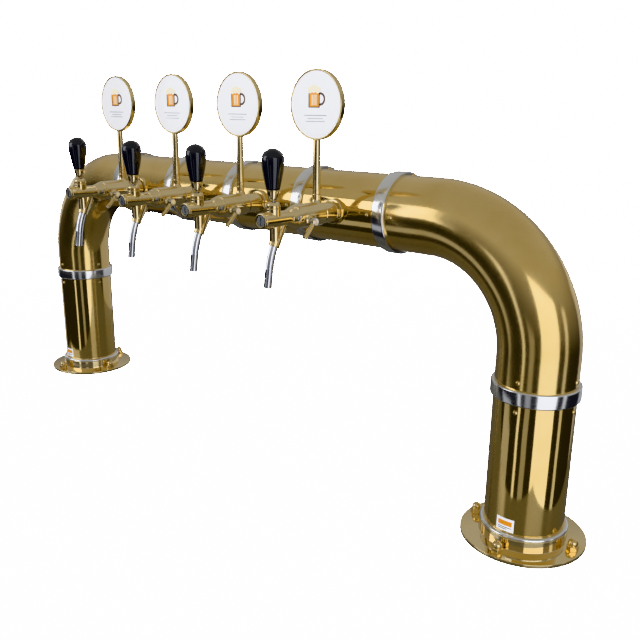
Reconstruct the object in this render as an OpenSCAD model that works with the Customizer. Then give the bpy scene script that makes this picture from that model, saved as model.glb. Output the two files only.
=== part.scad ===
// Bridge beer tower: two flanged legs, two swept elbows and a beam of four
// tap segments, with a compensator tap, a badge and a beer line for each tap.
// Origin: on the counter, midway between the two leg axes.
// +X runs along the beam, -Y faces the person who pours, +Z is up. Millimetres.

/* [Tower] */
// Distance between neighbouring taps, and the length of a beam segment
tap_pitch = 145; // [120:1:180]
// Height of the beam axis above the counter
beam_height = 398; // [330:1:480]
// Outer diameter of the tower tube
tube_d = 101.6; // [95:0.1:122]
// Wall of the tower tube
tube_wall = 1.5; // [1:0.1:2]
// Bend radius of an elbow at the tube axis
bend_r = 152.4; // [125:0.1:184]
// Straight end of an elbow on the beam side
elbow_beam_end = 60; // [42:1:90]
// Straight end of an elbow on the leg side
elbow_leg_end = 42; // [35:1:50]

/* [Base] */
// Width of the flange outside its bolt circle
flange_rim = 12; // [9:0.5:16]
// Thickness of a base flange
flange_t = 5; // [4:0.5:6]
// Height of the collar that holds the leg tube, above the flange
collar_h = 14.5; // [12:0.5:18]
// Wall of the collar
collar_wall = 4.7; // [4:0.1:6]
// Gap between the collar and the fixing nuts
nut_gap = 5; // [4:0.5:8]
// Width of the ledge that the leg tube stands on
ledge_w = 6.8; // [4:0.2:9]
// Diameter of a fixing hole
fixing_hole_d = 9; // [8.5:0.1:10]
// Width across the flats of a domed fixing nut
nut_af = 13; // [12:0.5:14]
// Height of a domed fixing nut
nut_h = 15; // [13:0.5:18]

/* [Bands and screws] */
// Width of a joint band
band_w = 19; // [16:0.5:23]
// Height of a joint band above the tube
band_t = 4.3; // [3:0.1:5.2]
// Length of the sleeve inside a joint
sleeve_l = 60; // [50:1:66]
// Wall of the sleeve inside a joint
sleeve_wall = 2; // [1.5:0.1:2.5]
// Distance from a joint to its screws
screw_offset = 18.7; // [16:0.1:22]
// Head diameter of a joint screw
screw_head_d = 6; // [5:0.1:7]
// Head height of a joint screw
screw_head_h = 2.1; // [1.5:0.1:2.8]
// Thread diameter of a joint screw
screw_d = 4; // [3:0.1:4.5]

/* [Tap] */
// Diameter of the wall flange behind a tap
wall_flange_d = 34; // [30:1:40]
// Reach of the wall flange from the tube
wall_flange_t = 6.2; // [5:0.1:8]
// Diameter of the threaded shank through the tube
shank_d = 16; // [14:0.5:18]
// Diameter of the coupling nut
coupling_d = 27.2; // [26.6:0.1:32.6]
// Length of the coupling nut
coupling_l = 24.5; // [22:0.5:28]
// Diameter of the compensator housing
housing_d = 31; // [30:0.1:36]
// Length of the compensator housing
housing_l = 43; // [40:1:50]
// Length of the neck between housing and barrel
neck_l = 22; // [18:1:26]
// Diameter of the front barrel
barrel_d = 20; // [19:0.1:24]
// Length of the front barrel
barrel_l = 40.2; // [38:0.1:46]
// Diameter of the spool bore
spool_bore_d = 13; // [12:0.1:13.6]
// Height of the handle pivot above the tap axis
pivot_h = 16; // [15:0.1:17]
// Diameter of the handle ball
ball_d = 11; // [10:0.1:13.2]
// Wall of the gland nut round the handle ball
gland_wall = 3.8; // [3.5:0.1:5]
// Slope of the compensator cone, radius per length
cone_slope = 0.08; // [0.05:0.01:0.1]
// Running clearance on the radius of a fitted shaft
fit_gap = 0.05; // [0.02:0.01:0.1]
// Free clearance between other moving pieces
free_gap = 0.3; // [0.2:0.05:0.5]

/* [Handle] */
// Height of the ferrule
ferrule_h = 12.9; // [10:0.1:16]
// Height of the knob
knob_h = 50; // [42:0.5:60]
// Largest diameter of the knob
knob_d = 28.6; // [24:0.1:34]
// Diameter of the knob at its foot
knob_foot_d = 17.6; // [16:0.1:20]

/* [Flow lever] */
// Length of the flow lever from its spindle
flow_lever_l = 26; // [22:1:32]
// Diameter of the flow lever
flow_lever_d = 7; // [6:0.1:8]
// Angle of the flow lever below the horizontal at rest
flow_lever_tilt = 45; // [30:1:60]

/* [Spout] */
// Outer diameter of the spout tube
spout_d = 11.4; // [10:0.1:12.5]
// Wall of the spout tube
spout_wall = 0.8; // [0.6:0.1:1.2]
// Bend radius of the spout
spout_bend_r = 110; // [90:1:140]
// Straight length at the tip of the spout
spout_tip_l = 22; // [15:1:30]

/* [Badge] */
// Diameter of a badge
badge_d = 88; // [70:1:106]
// Thickness of a badge
badge_t = 9; // [7:0.5:11]
// Height from the tap axis to the foot of the badge
badge_rod_top = 94.5; // [84:0.5:110]
// Diameter of a badge rod
badge_rod_d = 10.4; // [8:0.1:11]

/* [Lines] */
// Outer diameter of a beer line
line_d = 9.5; // [8:0.1:10]
// Bend radius of a beer line behind its tap
line_bend_r = 22; // [20:1:26]
// Outer diameter of the cooling pipe
cooling_d = 10; // [8:0.5:12]
// Width and height of a line label
label_size = [24, 17.5]; // [18:1:30]
// Thickness of a line label
label_t = 0.4; // [0.4:0.1:1]

/* [Hidden] */
$fn = 96;
TAPS = [1, 2, 3, 4];

BRASS = "goldenrod";
CHROME = "lightgray";
STEEL = "silver";
RUBBER = "dimgray";

// Tower, derived
tube_r = tube_d / 2;
tube_in_r = tube_r - tube_wall;
sleeve_in_r = tube_in_r - sleeve_wall;
beam_half = 2 * tap_pitch;
bend_x = beam_half + elbow_beam_end;
leg_x = bend_x + bend_r;
bend_z = beam_height - bend_r;
leg_joint_z = bend_z - elbow_leg_end;

// Base, derived
collar_r = tube_r + collar_wall;
collar_top = flange_t + collar_h;
bolt_r = collar_r + nut_gap + nut_af / 2 + 1;
flange_r = bolt_r + flange_rim;
lip_r = tube_r + 1.2;
lip_h = 6;
bead_h = 4.8;

// Tap, derived: distances in front of the tube
coupling_back = wall_flange_t + 0.6;
coupling_front = coupling_back + coupling_l;
coupling_lip = 3;
shank_collar_r = coupling_d / 2 - 3.1;
shank_front = coupling_back + 12.2;
seal_t = 1.2;
beer_bore_r = 4.5;
body_back = shank_front + seal_t;
housing_back = coupling_front + 0.4;
housing_front = housing_back + 2 + housing_l;
barrel_back = housing_front + neck_l;
barrel_front = barrel_back + barrel_l;
barrel_r = barrel_d / 2;
housing_r = housing_d / 2;
housing_back_r = max(housing_r - 3, shank_collar_r + 1.4);
pivot_y = barrel_front - 20;
cap_t = 2.5;
cap_edge = 0.8;
cap_slot_w = 1.2;
plug_y = housing_front + 12;
plug_r = 2;
plug_head_r = 3;

// Spool: the slot for the handle's finger, two lands and the waist between them
spool_r = spool_bore_d / 2 - fit_gap;
finger_r = 1.9;
finger_ball_r = 2.6;
slot_r = finger_ball_r + 0.45;
spool_front = pivot_y + 12;
land_back = pivot_y - 5.5;
head_front = pivot_y - 19;
head_back = head_front - 7;
seat_back = head_front - 5;
port_y = pivot_y - 8.5;

// Compensator: a cone in a tapered chamber, with one gap all along
cone_back = housing_back + 10;
cone_l = 34;
cone_front = cone_back + cone_l;
cone_gap = 0.9;
thread_wall = 1.1;
cone_lead = 4;
cone_r = shank_collar_r + 0.4 - thread_wall - cone_gap - cone_slope * cone_lead;
stud_hole_z = max(housing_r - 3, shank_collar_r + 0.4 - thread_wall + 1.5);
chamber_front = cone_front + 3;
spindle_y = cone_back + 25;
spindle_z = -5.5;
spindle_r = 4.5;
spindle_start_x = max(housing_r - 6.5, cone_r + free_gap);
spindle_end_x = housing_r + 2;
crank_r = 3;
crank_pin_r = 1.2;
groove_r = 4.4;

// Gland: everything round the ball is held by its distance from the pivot
ball_r = ball_d / 2;
pivot_pin_r = 1.2;
pivot_pin_half = ball_r + 1.2;
gland_bore_r = pivot_pin_half + 0.7;
gland_ledge = 0.7;
gland_foot = pivot_pin_r + free_gap;
gland_crown = 6;
gland_dome_r = ball_r + gland_wall;
boss_top = pivot_h - gland_foot;
gland_ring_r = 1.1;
gland_ring_drop = 2.9;
gland_mouth = 2.9;
stem_r = 2.5;
ferrule_foot = pivot_h + gland_dome_r - 1.2;
ferrule_top = ferrule_foot + ferrule_h;
ferrule_foot_r = 5.2;
knob_foot_r = knob_foot_d / 2;
knob_r = knob_d / 2;

// Spout: the lean of the tube from the vertical at its two ends
spout_lean_top = 24;
spout_lean_tip = 8;
spout_r = spout_d / 2;
spout_step = 0.15;
spout_lap = 0.4;
socket_y = pivot_y - 0.6;
socket_z = -barrel_r - 24;
socket_l = 14;
socket_r = spout_r + 2.2;

// Badge
badge_y = housing_back + 7;
badge_seat = housing_r + 10.5;
badge_rod_r = badge_rod_d / 2;
badge_stud_r = 3;
badge_r = badge_d / 2;
badge_z = badge_rod_top + badge_r - 0.6;
badge_rim = 2.6;
badge_plate = 2;
badge_recess = 0.8;

// Lines
line_r = line_d / 2;
seal_room = 8;
shank_nut_t = 8;
shank_nut_wall = 2.8;
tail_from_axis = 22.8;
shank_tail = tube_r - tail_from_axis;
lane_outer = 13;
lane_inner = 27;
cooling_drop = 28;
cooling_lane = 5;
tail_h = 14;
tail_r = 5;
line_end_z = 20;

function tap_x(i) = (i - 2.5) * tap_pitch;
function side(i) = i < 2.5 ? -1 : 1;
function lane(i) = (i == 1 || i == 4) ? lane_outer : lane_inner;

module at_tap(i) translate([tap_x(i), -tube_r, beam_height]) children();
module each_tap() for (i = TAPS) at_tap(i) children();
module at_leg(s) translate([s * leg_x, 0, 0]) children();

// A round bar along X, along Y from the tube forwards, or a cone along Y
module bar_x(r, x0, x1) translate([x0, 0, 0]) rotate([0, 90, 0]) cylinder(r = r, h = x1 - x0);
module bar_f(r, d0, d1) translate([0, -d0, 0]) rotate([90, 0, 0]) cylinder(r = r, h = d1 - d0);
module cone_f(r0, r1, d0, d1)
    translate([0, -d0, 0]) rotate([90, 0, 0]) cylinder(r1 = r0, r2 = r1, h = d1 - d0);

// A low dome that stands on the plane X = 0
module dome_x(r, h) {
    dome_r = (r * r + h * h) / (2 * h);
    rotate([0, 90, 0]) rotate_extrude() intersection() {
        translate([0, h - dome_r]) circle(r = dome_r);
        square([r, h]);
    }
}

// A ring about Z with rounded outer edges
module round_ring(r_in, r_out, w, edge) {
    rotate_extrude() {
        translate([r_in, -w / 2]) square([r_out - edge - r_in, w]);
        translate([r_in, -w / 2 + edge]) square([r_out - r_in, w - 2 * edge]);
        intersection() {
            for (s = [-1, 1])
                translate([r_out - edge, s * (w / 2 - edge)]) circle(r = edge, $fn = 48);
            translate([r_out - edge - 0.1, -w / 2]) square([edge + 0.1, w]);
        }
    }
}

// A quarter bend in the XZ plane, from the beam down to the leg on side s
module quarter_bend(s, r) {
    mirror([s < 0 ? 1 : 0, 0, 0])
        translate([bend_x, 0, bend_z]) rotate([90, 0, 0])
            rotate_extrude(angle = 90) translate([r, 0]) children();
}

// Places its children at the four screws on each side of a joint about Z
module joint_screw_places() {
    for (s = [-1, 1], a = [0:90:270])
        translate([0, 0, s * screw_offset]) rotate([0, 0, a]) children();
}

module screw_holes(r) {
    joint_screw_places() translate([sleeve_in_r - 1, 0, 0]) bar_x(r, 0, tube_r + 2 - sleeve_in_r);
}

// The seven joints, each with its axis along Z
module each_leg_joint() for (s = [-1, 1]) translate([s * leg_x, 0, leg_joint_z]) children();
module beam_joint(j) translate([j * tap_pitch, 0, beam_height]) rotate([0, 90, 0]) children();
module each_beam_joint() for (j = [-2:2]) beam_joint(j) children();

module base_flange(s) {
    color(BRASS) at_leg(s) difference() {
        union() {
            cylinder(r = flange_r, h = flange_t);
            cylinder(r = collar_r, h = collar_top);
            cylinder(r = lip_r, h = collar_top + lip_h);
        }
        translate([0, 0, -1]) cylinder(r = tube_r - ledge_w, h = flange_t + 2);
        translate([0, 0, flange_t]) cylinder(r = tube_r, h = collar_h + lip_h + 1);
        for (a = [0:90:270])
            rotate([0, 0, a]) translate([bolt_r, 0, -1]) cylinder(d = fixing_hole_d, h = flange_t + 2);
    }
}

module base_rings() {
    color(CHROME) for (s = [-1, 1]) at_leg(s) translate([0, 0, collar_top])
        rotate_extrude() intersection() {
            translate([collar_r - 2.6, 1.7]) circle(r = 3.1, $fn = 48);
            translate([lip_r, 0]) square([8, bead_h]);
        }
}

module acorn_nuts() {
    hex_h = nut_h * 0.45;
    dome_r = nut_af / 2 - 0.3;
    color(BRASS) for (s = [-1, 1], a = [0:90:270])
        at_leg(s) rotate([0, 0, a]) translate([bolt_r, 0, flange_t]) difference() {
            union() {
                rotate([0, 0, 30]) cylinder(d = nut_af / cos(30), h = hex_h, $fn = 6);
                cylinder(r = dome_r, h = nut_h - dome_r);
                translate([0, 0, nut_h - dome_r]) sphere(r = dome_r);
            }
            translate([0, 0, -1]) cylinder(r = 3.4, h = nut_h - 3);
        }
}

module leg_tube(s) {
    color(BRASS) difference() {
        at_leg(s) translate([0, 0, flange_t]) difference() {
            cylinder(r = tube_r, h = leg_joint_z - flange_t);
            translate([0, 0, -1]) cylinder(r = tube_in_r, h = leg_joint_z - flange_t + 2);
        }
        translate([s * leg_x, 0, leg_joint_z]) screw_holes(screw_d / 2);
    }
}

module elbow(s) {
    color(BRASS) difference() {
        union() {
            quarter_bend(s, bend_r) circle(r = tube_r);
            translate([s * leg_x, 0, leg_joint_z]) cylinder(r = tube_r, h = elbow_leg_end);
            translate([0, 0, beam_height]) mirror([s < 0 ? 1 : 0, 0, 0]) bar_x(tube_r, beam_half, bend_x);
        }
        quarter_bend(s, bend_r) circle(r = tube_in_r);
        translate([s * leg_x, 0, leg_joint_z - 1]) cylinder(r = tube_in_r, h = elbow_leg_end + 1);
        translate([0, 0, beam_height]) mirror([s < 0 ? 1 : 0, 0, 0])
            bar_x(tube_in_r, beam_half - 1, bend_x);
        translate([s * leg_x, 0, leg_joint_z]) screw_holes(screw_d / 2);
        beam_joint(2 * s) screw_holes(screw_d / 2);
    }
}

module beam_segment(i) {
    color(BRASS) difference() {
        translate([tap_x(i), 0, beam_height]) difference() {
            bar_x(tube_r, -tap_pitch / 2, tap_pitch / 2);
            bar_x(tube_in_r, -tap_pitch / 2 - 1, tap_pitch / 2 + 1);
            translate([0, -tube_r, 0]) bar_f(shank_d / 2 + free_gap, -tube_wall * 3, 2);
        }
        for (j = [i - 3, i - 2]) beam_joint(j) screw_holes(screw_d / 2);
    }
}

module band() round_ring(tube_r, tube_r + band_t, band_w, 2.2);
module leg_bands() color(CHROME) each_leg_joint() band();
module beam_bands() color(CHROME) each_beam_joint() band();

module joint_sleeve() {
    difference() {
        translate([0, 0, -sleeve_l / 2]) cylinder(r = tube_in_r, h = sleeve_l);
        translate([0, 0, -sleeve_l / 2 - 1]) cylinder(r = sleeve_in_r, h = sleeve_l + 2);
        screw_holes(screw_d / 2);
    }
}

module joint_sleeves() {
    color(STEEL) {
        each_leg_joint() joint_sleeve();
        each_beam_joint() joint_sleeve();
    }
}

module joint_screws() {
    joint_screw_places() {
        bar_x(screw_d / 2, sleeve_in_r + 0.3, tube_r + 0.5);
        translate([tube_r, 0, 0]) dome_x(screw_head_d / 2, screw_head_h);
    }
}

module band_screws() {
    color(BRASS) {
        each_leg_joint() joint_screws();
        each_beam_joint() joint_screws();
    }
}

module leg_labels() {
    angle = label_size[0] / tube_r * 180 / PI;
    facing = 269;
    color("white") for (s = [-1, 1]) at_leg(s)
        translate([0, 0, collar_top + lip_h + 1]) rotate([0, 0, facing - angle / 2])
            rotate_extrude(angle = angle) translate([tube_r, 0]) square([label_t, label_size[1]]);
}

// A beer line leaves its shank backwards, turns along the beam and goes down a leg
module beer_line(i) {
    s = side(i);
    y = lane(i);
    x_turn = tap_x(i) + s * line_bend_r;
    translate([tap_x(i), 0, beam_height]) {
        translate([0, -tube_r, 0]) bar_f(line_r, -tube_r - y + line_bend_r, -shank_tail - 0.2);
        translate([s * line_bend_r, y - line_bend_r, 0]) mirror([s > 0 ? 1 : 0, 0, 0])
            rotate_extrude(angle = 90) translate([line_bend_r, 0]) circle(r = line_r);
    }
    translate([0, y, beam_height]) mirror([s < 0 ? 1 : 0, 0, 0]) bar_x(line_r, s * x_turn, bend_x);
    translate([0, y, 0]) quarter_bend(s, bend_r) circle(r = line_r);
    translate([s * leg_x, y, line_end_z]) cylinder(r = line_r, h = bend_z - line_end_z);
}

module beer_lines() color("ivory") for (i = TAPS) beer_line(i);

module line_fittings() {
    color(BRASS) {
        each_tap() difference() {
            bar_f(shank_d / 2 + 2, -shank_tail - 8, -shank_tail + 7);
            bar_f(line_r, -shank_tail - 9, -shank_tail + 1);
            bar_f(shank_d / 2, -shank_tail, -shank_tail + 8);
        }
        for (i = TAPS) translate([side(i) * leg_x, lane(i), line_end_z]) difference() {
            union() {
                translate([0, 0, -tail_h - 5]) cylinder(r = tail_r, h = tail_h + 5);
                translate([0, 0, -5]) cylinder(r = line_r + 1.5, h = 5);
            }
            translate([0, 0, -tail_h - 6]) cylinder(r = 3, h = tail_h + 8);
        }
    }
}

module cooling_pipe() {
    r = cooling_d / 2;
    inner = bend_r - cooling_drop;
    color("peru") translate([0, cooling_lane, 0]) {
        translate([0, 0, beam_height - cooling_drop]) bar_x(r, -bend_x, bend_x);
        for (s = [-1, 1]) {
            quarter_bend(s, inner) circle(r = r);
            translate([s * (leg_x - cooling_drop), 0, line_end_z - 15])
                cylinder(r = r, h = bend_z - line_end_z + 15);
        }
    }
}

module wall_flanges() {
    r = wall_flange_d / 2;
    edge = 1.5;
    color(BRASS) each_tap() difference() {
        union() {
            bar_f(r, -8, wall_flange_t - edge);
            cone_f(r, r - edge, wall_flange_t - edge, wall_flange_t);
        }
        translate([0, tube_r, 0]) bar_x(tube_r, -r - 1, r + 1);
        bar_f(shank_d / 2, -9, wall_flange_t + 1);
    }
}

module tap_shanks() {
    color(STEEL) each_tap() difference() {
        union() {
            bar_f(shank_d / 2 - fit_gap, -shank_tail, shank_front);
            bar_f(shank_collar_r, shank_front - 3, shank_front);
        }
        bar_f(beer_bore_r, -shank_tail - 1, shank_front + 1);
    }
}

module shank_nuts() {
    color(BRASS) each_tap() translate([0, tube_wall + seal_room, 0]) difference() {
        bar_f((shank_d / 2 + shank_nut_wall) / cos(30), -shank_nut_t, 0, $fn = 6);
        bar_f(shank_d / 2, -shank_nut_t - 1, 1);
    }
}

module coupling_nuts() {
    r = coupling_d / 2;
    color(BRASS) each_tap() difference() {
        union() {
            cone_f(r - 1, r, coupling_back, coupling_back + 1);
            bar_f(r, coupling_back + 1, coupling_front - 1);
            cone_f(r, r - 1, coupling_front - 1, coupling_front);
        }
        bar_f(shank_d / 2 + 0.2, coupling_back - 1, coupling_front + 1);
        bar_f(shank_collar_r + 0.5, coupling_back + coupling_lip, coupling_front + 1);
    }
}

module tap_seals() {
    color(RUBBER) each_tap() {
        // Curved washer inside the tube
        difference() {
            bar_f(wall_flange_d / 2 - 3, -tube_wall - seal_room, -tube_wall);
            difference() {
                translate([0, tube_r, 0]) bar_x(tube_r + 9, -30, 30);
                translate([0, tube_r, 0]) bar_x(tube_in_r, -31, 31);
            }
            bar_f(shank_d / 2, -tube_wall - seal_room - 1, 1);
        }
        // Face washer between shank and tap body
        difference() {
            bar_f(shank_collar_r, shank_front, body_back);
            bar_f(beer_bore_r, shank_front - 1, body_back + 1);
        }
        // Ring under the handle ball
        translate([0, -pivot_y, pivot_h - gland_ring_drop]) rotate_extrude()
            translate([gland_bore_r - fit_gap - gland_ring_r, 0]) circle(r = gland_ring_r, $fn = 32);
    }
}

// Outline of the neck, an S from the housing down to the barrel
neck_steps = 10;
neck = [for (k = [0:neck_steps])
    [barrel_r + (housing_r - barrel_r) * (1 + cos(180 * k / neck_steps)) / 2,
     housing_front + neck_l * k / neck_steps]];

module body_outside() {
    // Threaded end, housing, neck and barrel
    bar_f(shank_collar_r + 0.4, body_back, housing_back);
    rotate([90, 0, 0]) rotate_extrude() polygon(concat(
        [[0, housing_back], [housing_back_r, housing_back], [housing_r, housing_back + 2]],
        neck, [[barrel_r, barrel_front - 0.8], [barrel_r - 0.8, barrel_front], [0, barrel_front]]));
    // Gland boss
    translate([0, -pivot_y, 0]) cylinder(r = gland_dome_r - 0.2, h = boss_top);
    // Badge boss
    translate([0, -badge_y, 0]) cylinder(r = badge_rod_r + 0.4, h = badge_seat);
    translate([0, -badge_y, 0])
        cylinder(r1 = badge_rod_r + 4, r2 = badge_rod_r + 0.4, h = housing_r + 3);
    // Boss of the flow lever's spindle
    translate([0, -spindle_y, spindle_z]) bar_x(spindle_r + 2.5, 0, housing_r + 0.5);
    translate([0, -spindle_y, spindle_z]) bar_x(spindle_r + 1.2, 0, spindle_end_x);
    // Side boss of the neck
    translate([0, -plug_y, 0]) bar_x(plug_head_r + 0.4, 0, housing_r - 0.5);
    // Spout socket and its web
    translate([0, -socket_y, socket_z]) rotate([-spout_lean_top, 0, 0])
        cylinder(r = socket_r, h = -socket_z - 4);
    translate([0, -pivot_y + 2.5, -barrel_r - 17]) cylinder(r = socket_r - 0.6, h = 20);
    translate([-3, 0, 0]) rotate([90, 0, 90]) linear_extrude(6)
        polygon([[-socket_y, -barrel_r + 2], [-socket_y, socket_z + 10],
                 [-socket_y + 11, socket_z - 1], [-socket_y + 21, -barrel_r + 1]]);
}

module body_inside() {
    // Rear chamber, cone chamber, cored space behind the seat, spool bore
    chamber_r = cone_r + cone_gap;
    bar_f(chamber_r + cone_slope * cone_lead, body_back - 1, cone_back - cone_lead);
    cone_f(chamber_r + cone_slope * cone_lead, chamber_r - cone_slope * (chamber_front - cone_back),
           cone_back - cone_lead, chamber_front);
    bar_f(spool_bore_d / 2 + 1.3, chamber_front - 0.5, seat_back);
    bar_f(spool_bore_d / 2, seat_back - 1, barrel_front + 1);
    // Gland bore with the ledge of its ring, badge stud hole, spindle bore, side plug hole
    ledge_z = pivot_h - gland_ring_drop - gland_ring_r;
    translate([0, -pivot_y, 0]) cylinder(r = gland_bore_r - gland_ledge, h = ledge_z + 1);
    translate([0, -pivot_y, ledge_z]) cylinder(r = gland_bore_r, h = boss_top);
    translate([0, -badge_y, stud_hole_z]) cylinder(r = badge_stud_r, h = 20);
    translate([0, -spindle_y, spindle_z]) bar_x(spindle_r + fit_gap, 4, spindle_end_x + 1);
    translate([0, -plug_y, 0]) bar_x(plug_r, housing_r - 6, housing_r);
    // Port into the spout socket, and the socket's bore
    translate([0, -port_y, -barrel_r - 8]) cylinder(r = 3.2, h = barrel_r + 8);
    translate([0, -socket_y, socket_z]) rotate([-spout_lean_top, 0, 0])
        translate([0, 0, -1]) cylinder(r = spout_r, h = socket_l + 1);
    translate([0, -socket_y, socket_z]) rotate([-spout_lean_top, 0, 0])
        cylinder(r = spout_r - spout_wall, h = socket_l + 8);
}

module tap_body(i) {
    color(BRASS) at_tap(i) difference() {
        body_outside();
        body_inside();
    }
}

module front_caps() {
    cap_edge_y = barrel_front + cap_t - cap_edge;
    color(STEEL) each_tap() {
        difference() {
            union() {
                bar_f(barrel_r - 0.3, barrel_front, cap_edge_y);
                cone_f(barrel_r - 0.3, barrel_r - 0.3 - cap_edge, cap_edge_y, barrel_front + cap_t);
                bar_f(spool_bore_d / 2, barrel_front - 3, barrel_front);
            }
            bar_f(barrel_r - 3.2, cap_edge_y, barrel_front + cap_t + 1);
            translate([-cap_slot_w / 2, -cap_edge_y - 1.8, -5]) cube([cap_slot_w, 2.6, 10]);
        }
    }
}

module gland_nuts() {
    color(BRASS) each_tap() translate([0, -pivot_y, pivot_h]) difference() {
        intersection() {
            translate([0, 0, -gland_foot]) cylinder(r = gland_dome_r, h = gland_foot + gland_crown);
            union() {
                sphere(r = gland_dome_r + 0.02);
                translate([0, 0, -gland_foot]) cylinder(r = gland_dome_r, h = gland_foot + 0.8);
            }
        }
        // Seat of the ball, room for the cross pin's ends, mouth for the leaning stem
        sphere(r = ball_r + free_gap);
        translate([0, 0, -gland_foot - 1])
            cylinder(r = gland_bore_r + free_gap, h = 2 * gland_foot + 1);
        translate([0, 0, gland_mouth])
            cylinder(r1 = ball_r - 0.95, r2 = ball_r + 0.5, h = gland_crown - gland_mouth + 0.1);
    }
}

module side_plugs() {
    color(STEEL) each_tap() translate([0, -plug_y, 0]) {
        bar_x(plug_r, housing_r - 5.5, housing_r - 0.3);
        translate([housing_r - 0.5, 0, 0]) dome_x(plug_head_r, 2.2);
    }
}

// A spout: straight in its socket, one bend, and a straight tip drawn down a little
module spout_tube(l, step) {
    difference() {
        cylinder(r = spout_r - step, h = l);
        translate([0, 0, -1]) cylinder(r = spout_r - spout_wall - step, h = l + 2);
    }
}

module spouts() {
    bend = spout_lean_top - spout_lean_tip;
    color(CHROME) each_tap()
        translate([0, -socket_y, socket_z]) rotate([-spout_lean_top, 0, 0]) {
            spout_tube(socket_l, 0);
            translate([0, spout_bend_r, 0]) rotate([90, 0, 90]) rotate([0, 0, 180])
                rotate_extrude(angle = bend) translate([spout_bend_r, 0]) difference() {
                    circle(r = spout_r);
                    circle(r = spout_r - spout_wall);
                }
            translate([0, spout_bend_r, 0]) rotate([bend, 0, 0])
                translate([0, -spout_bend_r, -spout_tip_l])
                    spout_tube(spout_tip_l + spout_lap, spout_step);
        }
}

module badge_rods() {
    color(BRASS) each_tap() translate([0, -badge_y, 0]) {
        translate([0, 0, housing_r + 1]) cylinder(r = badge_stud_r, h = badge_seat - housing_r);
        translate([0, 0, badge_seat]) cylinder(r1 = badge_rod_r - 0.6, r2 = badge_rod_r, h = 0.6);
        translate([0, 0, badge_seat + 0.6])
            cylinder(r = badge_rod_r, h = badge_rod_top - badge_seat - 0.6);
    }
}

module badge_frames() {
    color(BRASS) each_tap() translate([0, -badge_y, badge_z]) difference() {
        rotate([90, 0, 0]) difference() {
            round_ring(0.01, badge_r, badge_t, 2);
            translate([0, 0, -badge_t / 2 + badge_plate]) cylinder(r = badge_r - badge_rim, h = badge_t);
        }
        translate([0, 0, badge_rod_top - badge_z - 1]) cylinder(r = badge_rod_r, h = 1);
    }
}

module badge_faces() {
    color("white") each_tap() translate([0, -badge_y, badge_z]) rotate([90, 0, 0])
        translate([0, 0, -badge_t / 2 + badge_plate])
            cylinder(r = badge_r - badge_rim, h = badge_t - badge_plate - badge_recess);
}

// Moving pieces, at rest: handle upright, tap shut
module lever(i) {
    color(STEEL) at_tap(i) translate([0, -pivot_y, 0]) {
        sphere(r = finger_ball_r);
        cylinder(r = finger_r, h = pivot_h);
        translate([0, 0, pivot_h]) sphere(r = ball_r);
        // Cross pin that the handle tilts on
        translate([0, 0, pivot_h]) bar_x(pivot_pin_r, -pivot_pin_half, pivot_pin_half);
        translate([0, 0, pivot_h]) cylinder(r = stem_r, h = ferrule_top - pivot_h + 16);
    }
}

module ferrule(i) {
    color(BRASS) at_tap(i) translate([0, -pivot_y, ferrule_foot]) difference() {
        union() {
            cylinder(r1 = ferrule_foot_r, r2 = ferrule_foot_r + 0.7, h = 1);
            translate([0, 0, 1]) cylinder(r1 = ferrule_foot_r + 0.7, r2 = knob_foot_r - 0.4, h = ferrule_h - 2);
            translate([0, 0, ferrule_h - 1]) cylinder(r = knob_foot_r - 0.4, h = 1);
        }
        translate([0, 0, -1]) cylinder(r = stem_r, h = ferrule_h + 2);
        // Dished underneath, so that it clears the gland nut when it leans
        translate([0, 0, pivot_h - ferrule_foot]) sphere(r = gland_dome_r + free_gap);
    }
}

// Outline of the knob: a long taper from the foot, then a round top
knob_shoulder = knob_h - knob_r * 0.93;
knob_outline = concat(
    [[0, 0], [knob_foot_r - 0.6, 0], [knob_foot_r, 0.6]],
    [for (k = [1:8]) let (t = k / 8)
        [knob_foot_r + (knob_r - knob_foot_r) * sin(90 * pow(t, 1.15)), knob_shoulder * t]],
    [for (a = [10:10:80]) [knob_r * cos(a), knob_shoulder + (knob_h - knob_shoulder) * sin(a)]],
    [[0, knob_h]]);

module knob(i) {
    color("black") at_tap(i) translate([0, -pivot_y, ferrule_top]) difference() {
        rotate_extrude() polygon(knob_outline);
        translate([0, 0, -1]) cylinder(r = stem_r, h = 17);
    }
}

module spool(i) {
    color(STEEL) at_tap(i) difference() {
        union() {
            bar_f(spool_r, land_back, spool_front);
            bar_f(spool_r - 2.4, head_front - 0.5, land_back + 0.5);
            bar_f(spool_r, head_back, head_front);
        }
        // Seat of the handle's finger, wider at the top where the finger leans
        translate([0, -pivot_y, -finger_ball_r - 0.5]) cylinder(r = slot_r, h = finger_ball_r + 0.6);
        translate([0, -pivot_y, 0]) cylinder(r1 = slot_r, r2 = slot_r + 2.2, h = spool_r + 1);
        // Flats that let the beer past the front land
        for (s = [-1, 1]) translate([s * (spool_r - 0.9) - (s < 0 ? 3 : 0), -spool_front - 1, -4])
            cube([3, spool_front - land_back + 2, 8]);
    }
}

module flow_lever(i) {
    arm_x = spindle_end_x + free_gap + flow_lever_d / 2 + 0.6;
    hub_r = spindle_r + 0.6;
    color(BRASS) at_tap(i) translate([0, -spindle_y, spindle_z]) {
        bar_x(spindle_r, spindle_start_x, spindle_end_x + 0.1);
        translate([0, 0, crank_r]) bar_x(crank_pin_r, groove_r + 0.3, spindle_start_x);
        bar_x(hub_r - 1.6, spindle_end_x + 0.1, arm_x - flow_lever_d / 2);
        bar_x(hub_r, arm_x - flow_lever_d / 2, arm_x + flow_lever_d / 2);
        translate([arm_x, 0, 0]) rotate([90 + flow_lever_tilt, 0, 0]) {
            cylinder(r1 = flow_lever_d / 2 - 0.5, r2 = flow_lever_d / 2, h = flow_lever_l);
            translate([0, 0, flow_lever_l]) cylinder(r1 = flow_lever_d / 2, r2 = flow_lever_d / 2 - 1, h = 1);
        }
    }
}

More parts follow.
